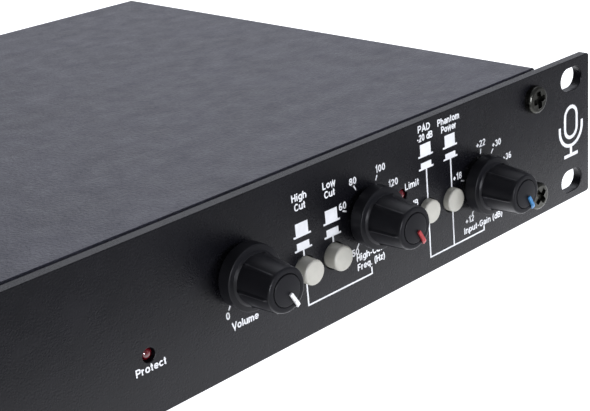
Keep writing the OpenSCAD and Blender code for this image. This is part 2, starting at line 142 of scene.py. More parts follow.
def fillet(points, steps=5):
    """Outline through (a, b, radius) points, with an arc where the radius isn't 0."""
    out = []
    last = len(points) - 1
    for i, (a, b, r) in enumerate(points):
        corner = Vector((a, b))
        if r <= 0 or i in (0, last):
            out.append((a, b))
            continue
        to_prev = (Vector(points[i - 1][:2]) - corner).normalized()
        to_next = (Vector(points[i + 1][:2]) - corner).normalized()
        half = to_prev.angle(to_next) / 2
        if half > math.radians(89):
            out.append((a, b))
            continue
        centre = corner + (to_prev + to_next).normalized() * (r / math.sin(half))
        start = corner + to_prev * (r / math.tan(half)) - centre
        end = corner + to_next * (r / math.tan(half)) - centre
        turn = math.atan2(start.x * end.y - start.y * end.x, start.dot(end))
        for k in range(steps + 1):
            angle = turn * k / steps
            c, s = math.cos(angle), math.sin(angle)
            out.append((centre.x + start.x * c - start.y * s, centre.y + start.x * s + start.y * c))
    return out


def revolve_into(bm, outline, at, segments=96, swell=None, spin=0.0):
    """Turns an outline of (radius, depth) about the Y axis through a place across and up.

    Depth runs towards the front. swell(angle, depth) adds to the radius, and angles run
    clockwise from straight up.
    """
    rings = []
    for r, d in outline:
        if r < 1e-6:
            rings.append([bm.verts.new((at[0], -d, at[1]))])
            continue
        ring = []
        for k in range(segments):
            angle = 2 * math.pi * k / segments + spin
            rr = r + (swell(angle - spin, d) if swell else 0)
            ring.append(bm.verts.new((at[0] + rr * math.sin(angle), -d, at[1] + rr * math.cos(angle))))
        rings.append(ring)
    for a, b in zip(rings, rings[1:]):
        for k in range(segments):
            n = (k + 1) % segments
            if len(a) == 1 and len(b) == 1:
                continue
            if len(a) == 1:
                bm.faces.new((a[0], b[n], b[k]))
            elif len(b) == 1:
                bm.faces.new((a[k], a[n], b[0]))
            else:
                bm.faces.new((a[k], a[n], b[n], b[k]))


def round_rect(x, z, w, h, r, steps=6):
    """Outline of a rounded rectangle, as a function of how far it is grown."""

    def outline(grow):
        rr = max(r + grow, 0.01)
        hw, hh = w / 2 + grow - rr, h / 2 + grow - rr
        points = []
        for cx, cz, start in ((hw, hh, 0), (-hw, hh, 90), (-hw, -hh, 180), (hw, -hh, 270)):
            for k in range(steps + 1):
                a = math.radians(start + 90 * k / steps)
                points.append((x + cx + rr * math.cos(a), z + cz + rr * math.sin(a)))
        return points

    return outline


def ring_outline(x, z, r, steps=48):
    """Outline of a circle, as a function of how far it is grown."""

    def outline(grow):
        turns = [2 * math.pi * k / steps for k in range(steps)]
        return [(x + (r + grow) * math.cos(a), z + (r + grow) * math.sin(a)) for a in turns]

    return outline


def inside(place, ring):
    """Whether a place lies inside a closed outline."""
    hit = False
    for a, b in zip(ring, ring[1:] + ring[:1]):
        if (a.y > place.y) != (b.y > place.y):
            if place.x < a.x + (place.y - a.y) * (b.x - a.x) / (b.y - a.y):
                hit = not hit
    return hit


def fill_between(bm, loops):
    """Fills the outline in the first loop of vertices, leaving out the other loops as holes."""
    verts = [v for loop in loops for v in loop]
    flat = [Vector((v.co.x, v.co.z)) for v in verts]
    edges, first = [], 0
    for loop in loops:
        count = len(loop)
        edges += [(first + k, first + (k + 1) % count) for k in range(count)]
        first += count
    rings = [[Vector((v.co.x, v.co.z)) for v in loop] for loop in loops[1:]]
    result = delaunay_2d_cdt(flat, edges, [], 1, 1e-6)
    for face in result[2]:
        centre = sum((result[0][k] for k in face), Vector((0, 0))) / len(face)
        if not any(inside(centre, ring) for ring in rings):
            bm.faces.new([verts[result[3][k][0]] for k in face])


def plate_into(bm, outer, holes, y0, y1, edge=0.2, steps=3):
    """A flat plate between two depths with rounded edges, outside and at its holes."""
    turns = [math.pi / 2 * k / steps for k in range(steps + 1)]
    side = [(edge * (1 - math.sin(a)), edge * (1 - math.cos(a))) for a in turns]
    stations = [(y0 + dy, inset) for inset, dy in side] + [(y1 - dy, inset) for inset, dy in side[::-1]]
    fronts, backs = [], []
    for shape, way in [(outer, -1)] + [(h, 1) for h in holes]:
        loops = [[bm.verts.new((p[0], y, p[1])) for p in shape(way * inset)] for y, inset in stations]
        count = len(loops[0])
        for a, b in zip(loops, loops[1:]):
            for k in range(count):
                n = (k + 1) % count
                bm.faces.new((a[k], a[n], b[n], b[k]))
        fronts.append(loops[0])
        backs.append(loops[-1])
    fill_between(bm, fronts)
    fill_between(bm, backs)


def box_into(bm, x, y, z):
    """A box, from its two ends along each axis."""
    made = bmesh.ops.create_cube(bm, size=1)
    size = (x[1] - x[0], y[1] - y[0], z[1] - z[0])
    mid = ((x[0] + x[1]) / 2, (y[0] + y[1]) / 2, (z[0] + z[1]) / 2)
    bmesh.ops.scale(bm, vec=size, verts=made["verts"])
    bmesh.ops.translate(bm, vec=mid, verts=made["verts"])


def soften(node, width=0.2, steps=2, angle=40):
    """Rounds the sharp edges of a CAD node that stays in view."""
    obj = NODES[node]
    weld = obj.modifiers.new("weld", "WELD")
    weld.merge_threshold = 1e-6
    bevel = obj.modifiers.new("bevel", "BEVEL")
    bevel.width = width * MM
    bevel.segments = steps
    bevel.limit_method = "ANGLE"
    bevel.angle_limit = math.radians(angle)
    bevel.use_clamp_overlap = True


# ---- materials -----------------------------------------------------------------

# Most of a noise's values lie in this span
NOISE_SPAN = (0.3, 0.7)


class Look:
    """A material whose nodes are added one layer at a time."""

    def __init__(self, name, colour, roughness, metallic=0.0, specular=0.5, coat=0.0, coat_roughness=0.1):
        self.material = bpy.data.materials.new(name)
        self.material.use_nodes = True
        self.nodes = self.material.node_tree.nodes
        self.links = self.material.node_tree.links
        self.shader = self.nodes["Principled BSDF"]
        self.shader.inputs["Base Color"].default_value = (*colour, 1)
        self.shader.inputs["Roughness"].default_value = roughness
        self.shader.inputs["Metallic"].default_value = metallic
        self.shader.inputs["Specular IOR Level"].default_value = specular
        self.shader.inputs["Coat Weight"].default_value = coat
        self.shader.inputs["Coat Roughness"].default_value = coat_roughness
        self.colour = colour
        self.roughness = roughness
        self.coords = self.nodes.new("ShaderNodeTexCoord")
        self.last_bump = None

    def noise(self, scale, detail=3.0, rough=0.55, stretch=(1, 1, 1)):
        """Noise with features about 1 / scale metres across."""
        mapping = self.nodes.new("ShaderNodeMapping")
        mapping.inputs["Scale"].default_value = stretch
        texture = self.nodes.new("ShaderNodeTexNoise")
        texture.inputs["Scale"].default_value = scale
        texture.inputs["Detail"].default_value = detail
        texture.inputs["Roughness"].default_value = rough
        self.links.new(self.coords.outputs["Object"], mapping.inputs["Vector"])
        self.links.new(mapping.outputs["Vector"], texture.inputs["Vector"])
        return texture.outputs["Fac"]

    def ramp(self, source, low_value, high_value, start=NOISE_SPAN[0], end=NOISE_SPAN[1]):
        """Maps a value's span from start to end onto another, and holds it beyond the ends."""
        node = self.nodes.new("ShaderNodeMapRange")
        node.inputs["From Min"].default_value = start
        node.inputs["From Max"].default_value = end
        node.inputs["To Min"].default_value = low_value
        node.inputs["To Max"].default_value = high_value
        self.links.new(source, node.inputs["Value"])
        return node.outputs["Result"]

    def mix(self, first, second, share):
        """Blends two noises by a share of the second."""
        node = self.nodes.new("ShaderNodeMix")
        node.inputs["Factor"].default_value = share
        self.links.new(first, node.inputs["A"])
        self.links.new(second, node.inputs["B"])
        return node.outputs["Result"]

    def tint(self, source, amount):
        """Lightens and darkens the colour by a share of itself."""
        ramp = self.nodes.new("ShaderNodeValToRGB")
        ramp.color_ramp.elements[0].position = NOISE_SPAN[0]
        ramp.color_ramp.elements[1].position = NOISE_SPAN[1]
        ramp.color_ramp.elements[0].color = (*[c * (1 - amount) for c in self.colour], 1)
        ramp.color_ramp.elements[1].color = (*[min(c * (1 + amount), 1) for c in self.colour], 1)
        self.links.new(source, ramp.inputs["Fac"])
        self.links.new(ramp.outputs["Color"], self.shader.inputs["Base Color"])

    def wear(self, source, spread):
        """Varies the roughness either side of its value."""
        value = self.ramp(source, self.roughness - spread, self.roughness + spread)
        self.links.new(value, self.shader.inputs["Roughness"])

    def bump(self, source, depth, strength=1.0):
        """Adds a relief to those already there, its depth in mm."""
        node = self.nodes.new("ShaderNodeBump")
        node.inputs["Distance"].default_value = depth * MM
        node.inputs["Strength"].default_value = strength
        self.links.new(source, node.inputs["Height"])
        if self.last_bump:
            self.links.new(self.last_bump.outputs["Normal"], node.inputs["Normal"])
        self.links.new(node.outputs["Normal"], self.shader.inputs["Normal"])
        self.last_bump = node


def painted(name, colour, roughness, grain, depth, specular=0.5, cloud=0.06, fleck=0.0):
    """Powder coat: a grain of a given size in mm, and clouds in colour and gloss, partly as fine flecks;
    the fine colour flecks are partly the coat's mottle and partly painted shade of its grain.
    """
    look = Look(name, colour, roughness, specular=specular)
    # Fine colour flecks: partly the coat's own mottle, partly painted shade of the grain's relief.
    shade = look.mix(look.noise(1 / (18 * MM), 4), look.noise(1 / (grain * 1.3 * MM), 3, 0.7), fleck)
    look.tint(shade, cloud)
    gloss = look.mix(look.noise(1 / (7 * MM), 3), look.noise(1 / (grain * 1.1 * MM), 3, 0.65), fleck)
    look.wear(gloss, 0.04 + 0.2 * fleck)
    look.bump(look.noise(1 / (grain * MM), 3, 0.6), depth)
    look.bump(look.noise(1 / (grain * 5 * MM), 2, 0.5), depth * 0.7, 0.6)
    return look.material


def moulded(name, colour, roughness, grain=0.25, depth=0.006, specular=0.5, cloud=0.05):
    """Moulded plastic: a spark-eroded skin with slight flow clouds."""
    look = Look(name, colour, roughness, specular=specular)
    look.tint(look.noise(1 / (5 * MM), 3), cloud)
    look.wear(look.noise(1 / (3 * MM), 3), 0.05)
    look.bump(look.noise(1 / (grain * MM), 3, 0.6), depth)
    return look.material


def metal(name, colour, roughness, stretch=(1, 1, 1), depth=0.002):
    """Plated or turned metal with fine directional marks."""
    look = Look(name, colour, roughness, metallic=1.0)
    look.tint(look.noise(1 / (4 * MM), 3), 0.08)
    look.wear(look.noise(1 / (1.2 * MM), 3, 0.6, stretch), 0.07)
    look.bump(look.noise(1 / (0.25 * MM), 2, 0.6, stretch), depth)
    return look.material


def lens(name, colour):
    """Tinted clear plastic of a lamp that is off."""
    look = Look(name, colour, 0.08, coat=0.6, coat_roughness=0.04)
    look.tint(look.noise(1 / (1.2 * MM), 2), 0.25)
    look.shader.inputs["Subsurface Weight"].default_value = 0.3
    look.shader.inputs["Subsurface Radius"].default_value = (0.6 * MM, 0.1 * MM, 0.1 * MM)
    return look.material


PANEL_PAINT = painted("panel_paint", (0.0048, 0.0048, 0.0066), 0.26, 0.50, 0.095, 0.18, 0.3, 0.30)
# Same black coat as the panel, its colour made about nine times lighter as a painted sheen of the light
# from above.
SHEEN_PAINTED_COVER_COAT = painted("cover_paint_with_painted_sheen", (0.044, 0.044, 0.060), 0.50, 0.80, 0.30, 0.5, 0.3, 0.5)
REAR_PAINT = painted("rear_paint", (0.012, 0.012, 0.013), 0.48, 0.30, 0.012)
SCREW_BLACK = metal("screw_black", (0.052, 0.052, 0.046), 0.28, depth=0.004)
ZINC = metal("zinc_steel", (0.40, 0.40, 0.39), 0.36)
TURNED = metal("shaft_steel", (0.46, 0.46, 0.48), 0.28, (1, 12, 1))
KNOB = moulded("knob_black", (0.0095, 0.0095, 0.0115), 0.38, 0.22, 0.006, 0.12)
CAP = moulded("knob_cap", (0.0095, 0.0095, 0.0115), 0.42, 0.20, 0.006, 0.15)
POINTER_WHITE = moulded("pointer_white", (0.78, 0.78, 0.78), 0.38, 0.3, 0.002, cloud=0.02)
POINTER_RED = moulded("pointer_red", (0.36, 0.025, 0.030), 0.36, 0.3, 0.002)
POINTER_BLUE = moulded("pointer_blue", (0.030, 0.18, 0.40), 0.36, 0.3, 0.002)
BUTTON = moulded("button_grey", (0.42, 0.41, 0.36), 0.42, 0.35, 0.012, cloud=0.10)
INK = moulded("legend_ink", (0.74, 0.75, 0.76), 0.50, 0.15, 0.002, cloud=0.10)
LENS_RED = lens("lamp_red", (0.10, 0.003, 0.007))
LENS_GREEN = lens("lamp_green", (0.012, 0.12, 0.03))
ROCKER = moulded("rocker_black", (0.010, 0.010, 0.011), 0.30, 0.4, 0.004)
CONNECTOR = painted("connector_black", (0.014, 0.014, 0.015), 0.38, 0.35, 0.010)
INLET = moulded("inlet_black", (0.012, 0.012, 0.013), 0.42, 0.3, 0.008)
OUTLET = moulded("outlet_blue", (0.012, 0.022, 0.075), 0.38, 0.3, 0.006)
GOLD = metal("contact_gold", (0.62, 0.42, 0.16), 0.25)
NICKEL = metal("jack_nickel", (0.40, 0.40, 0.385), 0.26, (1, 10, 1))
BOARD = moulded("board_green", (0.012, 0.085, 0.028), 0.35, 0.5, 0.006)
COPPER = metal("winding_copper", (0.50, 0.21, 0.07), 0.35, (1, 1, 8), 0.03)
RUBBER = moulded("pad_rubber", (0.012, 0.012, 0.012), 0.75, 0.3, 0.01)
SLEEVE = moulded("sleeve_blue", (0.012, 0.016, 0.05), 0.25, 0.6, 0.004)
ANODISED = metal("fin_aluminium", (0.03, 0.03, 0.032), 0.45)
EPOXY = moulded("epoxy_black", (0.012, 0.012, 0.013), 0.55, 0.2, 0.01)
RELAY = moulded("relay_blue", (0.01, 0.05, 0.25), 0.30, 0.5, 0.004)
RIBBON = moulded("ribbon_grey", (0.35, 0.35, 0.35), 0.50, 0.6, 0.01)
IVORY = moulded("plunger_ivory", (0.62, 0.60, 0.50), 0.40)
GLASS = Look("fuse_glass", (0.85, 0.88, 0.88), 0.05).material

NODE_LOOKS = {
    "chassis_base": SHEEN_PAINTED_COVER_COAT,
    "clinch_nuts": ZINC,
    "main_board": BOARD,
    "control_board": BOARD,
    "board_standoffs": ZINC,
    "board_screws": ZINC,
    "mains_transformer": COPPER,
    "transformer_pads": RUBBER,
    "transformer_clamp": ZINC,
    "filter_capacitors": SLEEVE,
    "heat_sink": ANODISED,
    "output_transistors": EPOXY,
    "bridge_rectifier": EPOXY,
    "protect_relay": RELAY,
    "audio_chips": EPOXY,
    "ribbon_cable": RIBBON,
    "pot_volume": ZINC,
    "pot_high_cut": ZINC,
    "pot_gain": ZINC,
    "pot_nuts": ZINC,
    "shaft_volume": TURNED,
    "shaft_high_cut": TURNED,
    "shaft_gain": TURNED,
    "switch_bodies": EPOXY,
    "plunger_high_cut": IVORY,
    "plunger_low_cut": IVORY,
    "plunger_pad": IVORY,
    "plunger_phantom": IVORY,
    "rocker_housing": ROCKER,
    "power_rocker": ROCKER,
    "mic_input_shell": CONNECTOR,
    "mic_input_core": INLET,
    "mic_input_latch": ZINC,
    "line_output_shell": CONNECTOR,
    "line_output_pins": GOLD,
    "jack_output": NICKEL,
    "speaker_outlet": OUTLET,
    "mains_inlet": INLET,
    "inlet_blades": NICKEL,
    "fuse_drawer": INLET,
    "mains_fuse": GLASS,
}


SOFTENED = ("chassis_base", "mic_input_shell", "mic_input_latch", "line_output_shell", "line_output_pins",
            "jack_output", "speaker_outlet", "mains_inlet", "inlet_blades", "fuse_drawer", "rocker_housing",
            "power_rocker")


def dress_nodes():
    """Puts the looks on the CAD nodes that aren't replaced, and rounds the edges of those in view."""
    for node, look in NODE_LOOKS.items():
        for slot in NODES[node].material_slots:
            slot.material = look
    for node in SOFTENED:
        soften(node)


# ---- front panel ---------------------------------------------------------------


PANEL_CORNER_R = 1.0
PANEL_EDGE = 0.22
PANEL_SCREW_HOLE_R = 2.2
SHAFT_HOLE_R = 3.6
BUTTON_HOLE_R = 3.55
LAMP_HOLE_R = 1.75
ROCKER_HOLE = (13.2, 19.6)


def front_panel():
    """Panel sheet with softly broken edges at its outline, its slots and its holes."""
    holes = []
    for i in (-1, 1):
        for k in (-1, 1):
            holes.append(round_rect(i * RACK_PITCH[0] / 2, k * RACK_PITCH[1] / 2, *SLOT, SLOT[1] / 2, 12))
            holes.append(ring_outline(i * PANEL_SCREW[0], k * PANEL_SCREW[1], PANEL_SCREW_HOLE_R, 24))
    for name in KNOBS:
        holes.append(ring_outline(*middle("knob_" + name), SHAFT_HOLE_R))
    for name in BUTTONS:
        holes.append(ring_outline(*middle("button_" + name), BUTTON_HOLE_R))
    for name in LAMPS:
        holes.append(ring_outline(*middle(name + "_led"), LAMP_HOLE_R, 32))
    holes.append(round_rect(*middle("rocker_housing"), *ROCKER_HOLE, 0.3, 2))
    bm = bmesh.new()
    plate_into(bm, round_rect(0, 0, PANEL_W, PANEL_H, PANEL_CORNER_R), holes, 0, PANEL_T, PANEL_EDGE, 3)
    piece(make_object("front_panel_sheet", bm, PANEL_PAINT), CASE, "panel_black", "front_panel")


# ---- legends -------------------------------------------------------------------

# Front and back of the ink, and how much further forward each layer lies, where strokes cross
INK_Y = (-0.035, 0.02)
INK_STEP = 0.004
# Widths: a letter's stroke as a share of its height, a tick and a line that joins controls
LETTER_STROKE = 0.19
TICK_STROKE = 0.42
LINE_STROKE = 0.45
# Heights of the capitals
SMALL_CAP = 1.9
LARGE_CAP = 1.95


def bow(x, y, rx, ry, start, end, steps=8):
    """Points on an ellipse between two angles, anticlockwise from the right."""
    turns = [math.radians(start + (end - start) * k / steps) for k in range(steps + 1)]
    return [(x + rx * math.cos(a), y + ry * math.sin(a)) for a in turns]


BOWL = bow(0.36, 0.37, 0.25, 0.28, 0, 360, 16)
ARCH = [(0.1, 0.4)] + bow(0.33, 0.42, 0.22, 0.22, 165, 0, 7) + [(0.55, 0)]

# Centre lines of a plain upright sans-serif letter one unit high: (width, strokes)
GLYPHS = {
    "A": (0.76, [[(0.05, 0), (0.38, 0.96), (0.71, 0)], [(0.16, 0.3), (0.6, 0.3)]]),
    "B": (0.74, [[(0.1, 0), (0.1, 1)],
                 [(0.1, 0.91), (0.38, 0.91)] + bow(0.4, 0.72, 0.18, 0.19, 80, -80) + [(0.1, 0.53)],
                 [(0.1, 0.09), (0.4, 0.09)] + bow(0.42, 0.31, 0.21, 0.22, -80, 80) + [(0.3, 0.53)]]),
    "C": (0.76, [bow(0.42, 0.5, 0.32, 0.41, 42, 318, 14)]),
    "D": (0.76, [[(0.1, 0), (0.1, 1)], [(0.1, 0.91), (0.32, 0.91)] + bow(0.34, 0.5, 0.32, 0.41, 88, -88, 12)
                 + [(0.1, 0.09)]]),
    "F": (0.64, [[(0.1, 0), (0.1, 1)], [(0.1, 0.91), (0.6, 0.91)], [(0.1, 0.5), (0.54, 0.5)]]),
    "G": (0.8, [bow(0.42, 0.5, 0.32, 0.41, 42, 330, 14) + [(0.73, 0.46), (0.46, 0.46)]]),
    "H": (0.74, [[(0.1, 0), (0.1, 1)], [(0.64, 0), (0.64, 1)], [(0.1, 0.53), (0.64, 0.53)]]),
    "I": (0.3, [[(0.15, 0), (0.15, 1)]]),
    "L": (0.62, [[(0.1, 1), (0.1, 0.09), (0.58, 0.09)]]),
    "P": (0.7, [[(0.1, 0), (0.1, 1)], [(0.1, 0.91), (0.38, 0.91)] + bow(0.39, 0.68, 0.22, 0.23, 85, -85)
                + [(0.1, 0.45)]]),
    "V": (0.74, [[(0.04, 1), (0.37, 0.04), (0.7, 1)]]),
    "a": (0.62, [bow(0.33, 0.48, 0.22, 0.17, 165, 20, 6) + [(0.54, 0.4), (0.54, 0)],
                 [(0.54, 0.4)] + bow(0.31, 0.22, 0.2, 0.145, 80, 330, 10) + [(0.54, 0.2)]]),
    "c": (0.62, [bow(0.36, 0.37, 0.25, 0.28, 45, 315, 12)]),
    "d": (0.68, [[(0.58, 0), (0.58, 1)], BOWL]),
    "e": (0.66, [[(0.12, 0.36), (0.6, 0.36)] + bow(0.36, 0.37, 0.25, 0.28, 5, 318, 14)]),
    "g": (0.68, [BOWL, [(0.58, 0.73), (0.58, 0.02)] + bow(0.34, 0.0, 0.24, 0.2, 0, -150, 7)]),
    "h": (0.66, [[(0.1, 0), (0.1, 1)], ARCH]),
    "i": (0.28, [[(0.14, 0), (0.14, 0.73)], [(0.14, 0.84), (0.14, 1)]]),
    "l": (0.28, [[(0.14, 0), (0.14, 1)]]),
    "m": (0.96, [[(0.1, 0), (0.1, 0.73)],
                 [(0.1, 0.42)] + bow(0.28, 0.45, 0.18, 0.19, 165, 0, 6) + [(0.47, 0)],
                 [(0.47, 0.42)] + bow(0.66, 0.45, 0.18, 0.19, 165, 0, 6) + [(0.85, 0)]]),
    "n": (0.66, [[(0.1, 0), (0.1, 0.73)], ARCH]),
    "o": (0.7, [BOWL]),
    "p": (0.68, [[(0.12, -0.26), (0.12, 0.73)], BOWL]),
    "q": (0.68, [[(0.58, -0.26), (0.58, 0.73)], BOWL]),
    "r": (0.44, [[(0.1, 0), (0.1, 0.73)], [(0.1, 0.36)] + bow(0.34, 0.4, 0.22, 0.24, 160, 85, 5)]),
    "t": (0.4, [[(0.19, 0.95), (0.19, 0.22)] + bow(0.31, 0.22, 0.12, 0.13, 180, 275, 5),
                [(0.03, 0.65), (0.36, 0.65)]]),
    "u": (0.66, [[(0.11, 0.73), (0.11, 0.3)] + bow(0.33, 0.3, 0.22, 0.21, 180, 345, 7),
                 [(0.56, 0.73), (0.56, 0)]]),
    "w": (0.9, [[(0.05, 0.73), (0.24, 0.06), (0.45, 0.7), (0.66, 0.06), (0.85, 0.73)]]),
    "z": (0.58, [[(0.06, 0.64), (0.5, 0.64), (0.08, 0.09), (0.53, 0.09)]]),
    "0": (0.64, [bow(0.32, 0.5, 0.22, 0.41, 0, 360, 16)]),
    "1": (0.5, [[(0.34, 0), (0.34, 0.97), (0.1, 0.74)]]),
    "2": (0.64, [bow(0.32, 0.69, 0.22, 0.22, 170, -30, 8) + [(0.1, 0.09), (0.56, 0.09)]]),
    "3": (0.64, [bow(0.3, 0.71, 0.2, 0.2, 155, -80, 8), bow(0.3, 0.31, 0.23, 0.22, 82, -155, 8)]),
    "4": (0.66, [[(0.46, 0), (0.46, 0.95), (0.07, 0.27), (0.62, 0.27)]]),
    "5": (0.64, [[(0.54, 0.91), (0.18, 0.91), (0.13, 0.5)] + bow(0.31, 0.34, 0.23, 0.25, 130, -155, 9)]),
    "6": (0.64, [bow(0.33, 0.31, 0.22, 0.22, 0, 360, 14), bow(0.4, 0.43, 0.3, 0.49, 80, 200, 7)]),
    "8": (0.64, [bow(0.32, 0.71, 0.19, 0.2, 0, 360, 14), bow(0.32, 0.3, 0.22, 0.21, 0, 360, 14)]),
    "+": (0.66, [[(0.06, 0.38), (0.6, 0.38)], [(0.33, 0.11), (0.33, 0.65)]]),
    "-": (0.4, [[(0.05, 0.36), (0.35, 0.36)]]),
    ".": (0.3, [[(0.15, 0), (0.15, 0.19)]]),
    "(": (0.36, [bow(0.55, 0.4, 0.42, 0.7, 125, 235, 7)]),
    ")": (0.36, [bow(-0.19, 0.4, 0.42, 0.7, 55, -55, 7)]),
    " ": (0.32, []),
}


def band_into(bm, points, width, layer=0):
    """An inked line of one width along points on the panel, joined up where its ends meet."""
    heights = (INK_Y[0] - layer * INK_STEP, INK_Y[1])
    line = [Vector(p) for p in points]
    closed = (line[0] - line[-1]).length < 1e-6
    if closed:
        line = line[:-1]
    count = len(line)
    rims = []
    for k, here in enumerate(line):
        before = line[(k - 1) % count] if closed or k > 0 else None
        after = line[(k + 1) % count] if closed or k < count - 1 else None
        into = (here - before).normalized() if before else (after - here).normalized()
        out = (after - here).normalized() if after else into
        mid = (into + out).normalized()
        side = Vector((-mid.y, mid.x)) * (width / 2 / max(mid.dot(into), 0.35))
        rims.append([bm.verts.new((p.x, y, p.y)) for y in heights for p in (here + side, here - side)])
    pairs = list(zip(rims, rims[1:])) + ([(rims[-1], rims[0])] if closed else [])
    for a, b in pairs:
        for i, k in ((0, 1), (1, 3), (3, 2), (2, 0)):
            bm.faces.new((a[i], a[k], b[k], b[i]))
    if not closed:
        for rim in (rims[0], rims[-1]):
            bm.faces.new((rim[0], rim[1], rim[3], rim[2]))


def text_into(bm, text, x, z, cap, width=None, anchor="centre"):
    """Letters on the panel: x is their middle or left end, z their base line."""
    gap = 0.07
    natural = sum(GLYPHS[c][0] for c in text) + gap * (len(text) - 1)
    across = width / natural if width else cap
    left = x - natural * across / 2 if anchor == "centre" else x
    for c in text:
        advance, strokes = GLYPHS[c]
        for layer, stroke in enumerate(strokes):
            band_into(bm, [(left + a * across, z + b * cap) for a, b in stroke], LETTER_STROKE * cap, layer)
        left += (advance + gap) * across


def patch_into(bm, x, z, layer=0):
    """A filled inked rectangle."""
    box_into(bm, x, (INK_Y[0] - layer * INK_STEP, INK_Y[1]), z)


def dial_into(bm, at, marks, tick=1.45, cap=SMALL_CAP):
    """Ticks and numbers round a knob.

    A mark is its tick's angle and distance, the number, and the number's angle and distance.
    Angles run clockwise from straight up, and distances from the shaft.
    """
    centre = Vector(at)
    for angle, radius, word, turn, reach in marks:
        a, b = math.radians(angle), math.radians(turn)
        out = Vector((math.sin(a), math.cos(a)))
        ends = [centre + out * (radius - tick / 2), centre + out * (radius + tick / 2)]
        band_into(bm, ends, TICK_STROKE, 2)
        place = centre + Vector((math.sin(b), math.cos(b))) * reach
        text_into(bm, word, place.x, place.y - cap / 2, cap)


def push_symbols_into(bm, x, top, mid):
    """The pair of signs over a push button, released above and pressed below, and its stem."""
    half, bar, bar_t, stem_w, stem_foot = 2.05, 2.85, 0.45, 0.5, -0.1
    for foot_z, head_z in (top, mid):
        patch_into(bm, (x - half, x + half), (foot_z, head_z))
        patch_into(bm, (x - bar, x + bar), (foot_z - bar_t, foot_z + 0.05), 1)
    band_into(bm, [(x, mid[0] - 0.2), (x, stem_foot)], stem_w, 2)


def microphone_sign_into(bm, x, z, width=1.05):
    """A plain microphone outline, as a pictogram on the rack ear."""
    half, top, foot = 2.9, 4.6, 0.9
    capsule = bow(x, z + top, half, half, 0, 180, 12) + bow(x, z + foot, half, half, 180, 360, 12)
    band_into(bm, capsule + capsule[:1], width)
    wide, arm_z, base_z, base = half + 2.6, z + 2.2, z - 7.6, 3.4
    cradle = [(x - wide, arm_z)] + bow(x, z + foot, wide, wide, 180, 360, 16) + [(x + wide, arm_z)]
    band_into(bm, cradle, width)
    band_into(bm, [(x, z + foot - wide), (x, base_z + 0.2)], width, 1)
    band_into(bm, [(x - base, base_z), (x + base, base_z)], width, 2)


def legends():
    """White printing on the panel: function words, dial numbers, lines and symbols."""
    volume, high_cut, gain = (middle("knob_" + n) for n in KNOBS)
    protect, limit, power = (middle(n + "_led") for n in LAMPS)
    high_x, low_x, pad_x, phantom_x = (middle("button_" + n)[0] for n in BUTTONS)
    bm = bmesh.new()

    text_into(bm, "Protect", protect[0] - 4.1, protect[1] - 4.03, LARGE_CAP, 8.45, "left")
    text_into(bm, "Volume", volume[0] - 4.3, volume[1] - 13.45, LARGE_CAP, 8.1, "left")
    dial_into(bm, volume, [(-149, 8.5, "0", -150.8, 10.6), (149, 8.5, "10", 150, 10.9)])

    text_into(bm, "High", high_x + 0.05, 14.5, SMALL_CAP, 4.9)
    text_into(bm, "Cut", high_x + 0.05, 12.0, SMALL_CAP, 3.7)
    text_into(bm, "Low", low_x + 0.05, 14.4, SMALL_CAP, 4.4)
    text_into(bm, "Cut", low_x + 0.05, 11.95, SMALL_CAP, 3.7)
    for x in (high_x, low_x):
        push_symbols_into(bm, x, (5.6, 8.8), (2.0, 3.7))
    text_into(bm, "High-Cut", high_cut[0] - 5.2, high_cut[1] - 11.5, SMALL_CAP, 9.4, "left")
    text_into(bm, "Freq. (Hz)", high_cut[0] - 5.1, high_cut[1] - 14.15, SMALL_CAP, 10.1, "left")
    dial_into(bm, high_cut, [(-149, 8.4, "50", -148, 10.3), (-66.8, 8.87, "60", -59.8, 10.05),
                             (-25.8, 9.36, "80", -23.9, 11.3), (23.6, 9.37, "100", 26.5, 12.0),
                             (65, 9.4, "120", 61.1, 11.1), (149, 8.9, "150", 150, 11.5)])
    line_x, line_z = high_cut[0] - 0.1, -13.5
    joined = [(high_x, -6.7), (high_x, line_z), (line_x, line_z), (line_x, line_z + 1.9)]
    band_into(bm, joined, LINE_STROKE, 3)

    text_into(bm, "Limit", limit[0] + 1.0, limit[1] + 0.95, SMALL_CAP, 5.4, "left")
    text_into(bm, "0 dB", limit[0] + 3.2, limit[1] - 4.65, SMALL_CAP, 5.2)

    text_into(bm, "PAD", pad_x - 0.15, 18.7, SMALL_CAP, 4.8)
    text_into(bm, "-20 dB", pad_x, 16.2, SMALL_CAP, 6.1)
    text_into(bm, "Phantom", phantom_x - 0.2, 18.3, SMALL_CAP, 8.8)
    text_into(bm, "Power", phantom_x - 0.2, 16.0, SMALL_CAP, 6.1)
    push_symbols_into(bm, pad_x, (12.2, 15.3), (8.7, 10.2))
    push_symbols_into(bm, phantom_x, (11.8, 14.95), (8.5, 9.8))
    line_x, line_z = gain[0] + 1.45, -17.35
    joined = [(pad_x, -6.9), (pad_x, line_z), (line_x, line_z), (line_x, line_z + 1.35)]
    band_into(bm, joined, LINE_STROKE, 3)
    band_into(bm, [(phantom_x, -6.9), (phantom_x, line_z + 0.05)], LINE_STROKE, 4)

    dial_into(bm, gain, [(-158.5, 9.0, "+12", -154.7, 10.7), (-69.5, 7.4, "+18", -63.5, 10.1),
                         (7, 8.75, "+22", 6.3, 11.0), (39.5, 9.43, "+30", 41.4, 12.1),
                         (73, 9.5, "+36", 73.1, 13.0), (112, 9.0, "+42", 112, 12.2),
                         (149, 8.9, "+50", 150, 11.5)])
    text_into(bm, "Input-Gain (dB)", gain[0] - 7.2, gain[1] - 13.4, SMALL_CAP, 17.0, "left")

    text_into(bm, "Power", power[0], power[1] - 6.2, SMALL_CAP, 6.1)
    microphone_sign_into(bm, RACK_PITCH[0] / 2 - 0.35, 0)
    piece(make_object("printed_legends", bm, INK), CASE, "pointer_white")


# ---- screws --------------------------------------------------------------------


